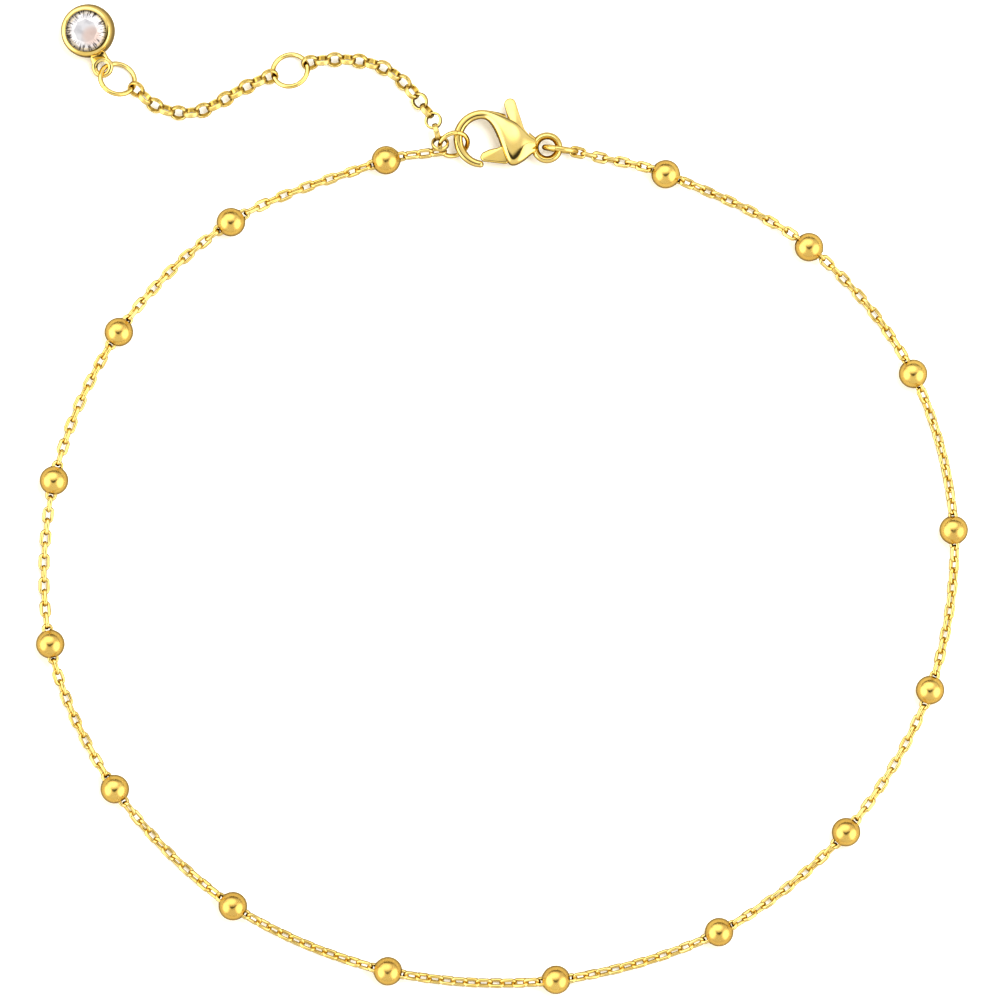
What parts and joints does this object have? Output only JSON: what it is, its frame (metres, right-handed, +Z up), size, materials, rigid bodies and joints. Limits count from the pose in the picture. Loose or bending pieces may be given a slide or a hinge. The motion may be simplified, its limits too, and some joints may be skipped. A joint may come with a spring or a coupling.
{
  "type": "chain anklet",
  "caption": "Fine cable chain anklet strung with round beads, with a lobster clasp, an extender chain of round links and a bezel-set stone drop.",
  "frame": {"origin": "centre of the outline in plan, on the surface that the anklet lies on", "axes": "+Z up from the surface; +Y towards the clasp and the extender; +X towards the clasp's eye end, to the right seen from above"},
  "size_m": [0.0782, 0.0831, 0.0031],
  "materials": {
    "polished_gold": "gold-plated, polished; the beads slightly softer",
    "clear_stone": "clear faceted round brilliant"
  },
  "bodies": {
    "anklet": {"bead_01": "polished_gold", "bead_02": "polished_gold", "bead_03": "polished_gold", "bead_04": "polished_gold", "bead_05": "polished_gold", "bead_06": "polished_gold", "bead_07": "polished_gold", "bead_08": "polished_gold", "bead_09": "polished_gold", "bead_10": "polished_gold", "bead_11": "polished_gold", "bead_12": "polished_gold", "bead_13": "polished_gold", "bead_14": "polished_gold", "bead_15": "polished_gold", "bead_16": "polished_gold", "extender_link_01": "polished_gold", "extender_link_02": "polished_gold", "extender_link_03": "polished_gold", "extender_link_04": "polished_gold", "extender_link_05": "polished_gold", "extender_link_06": "polished_gold", "extender_link_07": "polished_gold", "extender_link_08": "polished_gold", "extender_link_09": "polished_gold", "extender_link_10": "polished_gold", "extender_link_11": "polished_gold", "extender_link_12": "polished_gold", "extender_link_13": "polished_gold", "extender_link_14": "polished_gold", "extender_link_15": "polished_gold", "extender_link_16": "polished_gold", "extender_link_17": "polished_gold", "extender_link_18": "polished_gold", "extender_link_19": "polished_gold", "extender_link_20": "polished_gold", "extender_link_21": "polished_gold", "extender_link_22": "polished_gold", "extender_link_23": "polished_gold", "extender_link_24": "polished_gold", "extender_link_25": "polished_gold", "extender_link_26": "polished_gold", "extender_link_27": "polished_gold", "extender_link_28": "polished_gold", "chain": "polished_gold", "chain_first_link": "polished_gold", "chain_last_link": "polished_gold", "clasp_body": "polished_gold", "clasp_ring": "polished_gold", "joining_ring": "polished_gold", "middle_ring": "polished_gold", "end_ring": "polished_gold", "drop_bezel": "polished_gold", "drop_stone": "clear_stone"},
    "lever": {"clasp_lever": "polished_gold"}
  },
  "joints": [
    {"name": "lever_hinge", "type": "hinge", "parent": "anklet", "child": "lever", "pos_m": [0.00151, 0.0301, 0.00122], "axis": [0, 0, -1], "range_deg": [0, 22], "stiffness_Nm_per_rad": 0.004}
  ]
}
